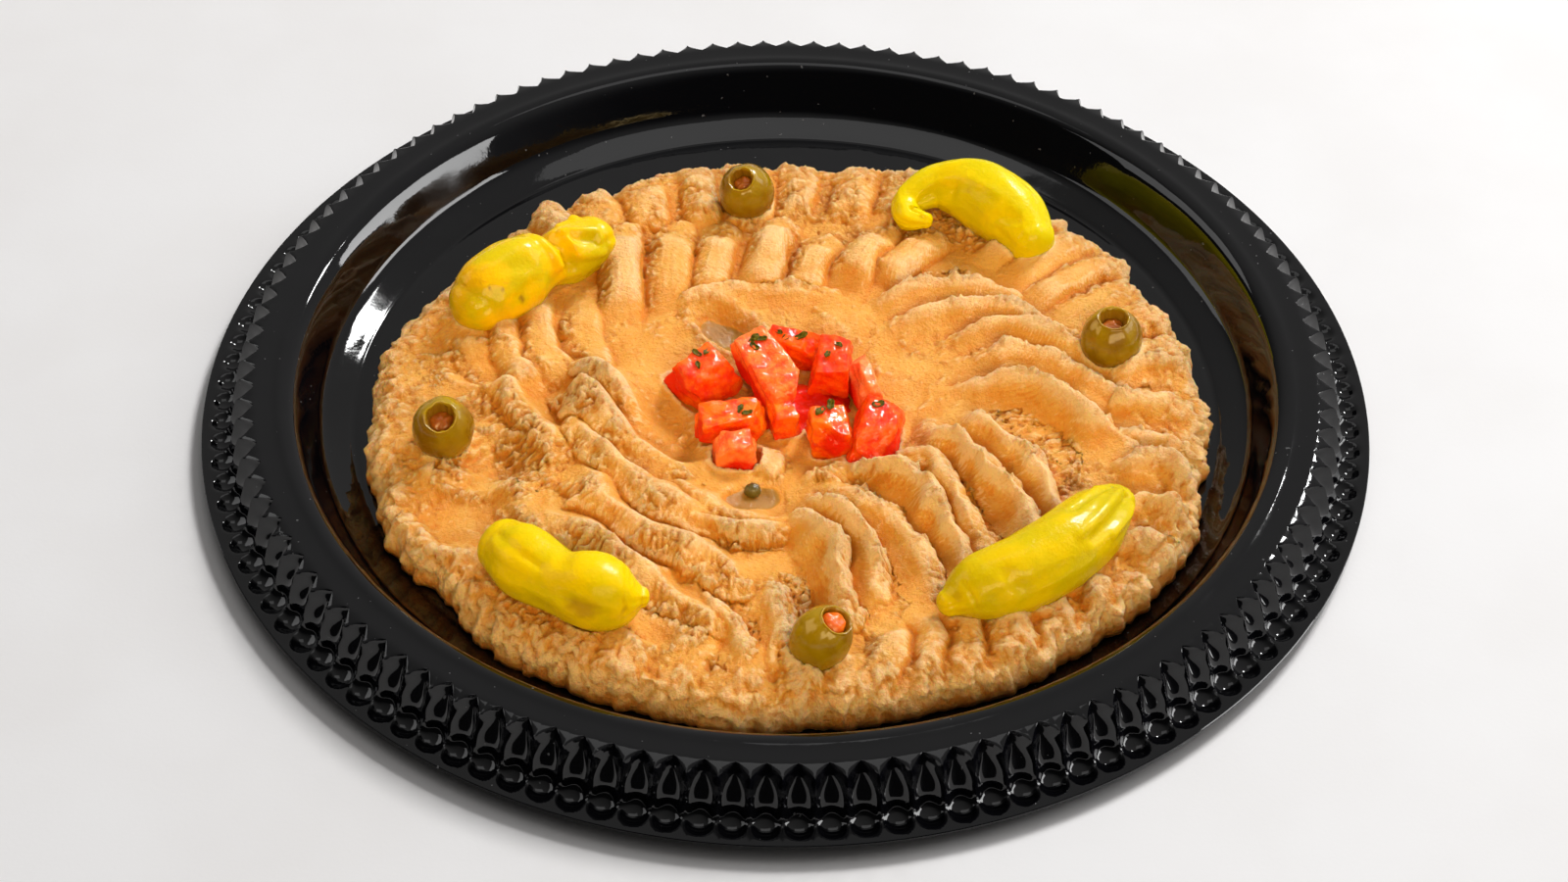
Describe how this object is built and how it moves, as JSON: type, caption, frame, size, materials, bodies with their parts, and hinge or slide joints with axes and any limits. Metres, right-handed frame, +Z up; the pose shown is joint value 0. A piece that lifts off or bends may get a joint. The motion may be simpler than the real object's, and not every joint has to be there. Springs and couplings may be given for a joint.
{
  "type": "hummus platter",
  "caption": "Round black fluted catering tray holding a swirled disc of hummus, topped with whole pepperoncini, pitted olives and a small pile of diced tomato with herbs.",
  "frame": {"origin": "centre of the tray's flat foot, on the surface it stands on", "axes": "+Z up, +Y to the back of the platter as served, +X to its right"},
  "size_m": [0.305, 0.305, 0.0307],
  "materials": {
    "tray_plastic": "glossy black",
    "hummus_spread": "moist, grainy, peach-tan",
    "pepper_skin": "waxy, wet",
    "olive_skin": "smooth, wet",
    "pimento_flesh": "moist",
    "tomato_flesh": "wet, cut flesh"
  },
  "bodies": {
    "root": {"tray": "tray_plastic", "hummus": "hummus_spread", "pepperoncini_1": "pepper_skin", "pepperoncini_2": "pepper_skin", "pepperoncini_3": "pepper_skin", "pepperoncini_4": "pepper_skin", "olive_1": "olive_skin", "pimento_1": "pimento_flesh", "olive_2": "olive_skin", "pimento_2": "pimento_flesh", "olive_3": "olive_skin", "pimento_3": "pimento_flesh", "olive_4": "olive_skin", "pimento_4": "pimento_flesh", "tomato_1": "tomato_flesh", "tomato_2": "tomato_flesh", "tomato_3": "tomato_flesh", "tomato_4": "tomato_flesh", "tomato_5": "tomato_flesh", "tomato_6": "tomato_flesh", "tomato_7": "tomato_flesh", "tomato_8": "tomato_flesh", "tomato_9": "tomato_flesh", "tomato_10": "tomato_flesh"}
  },
  "joints": []
}
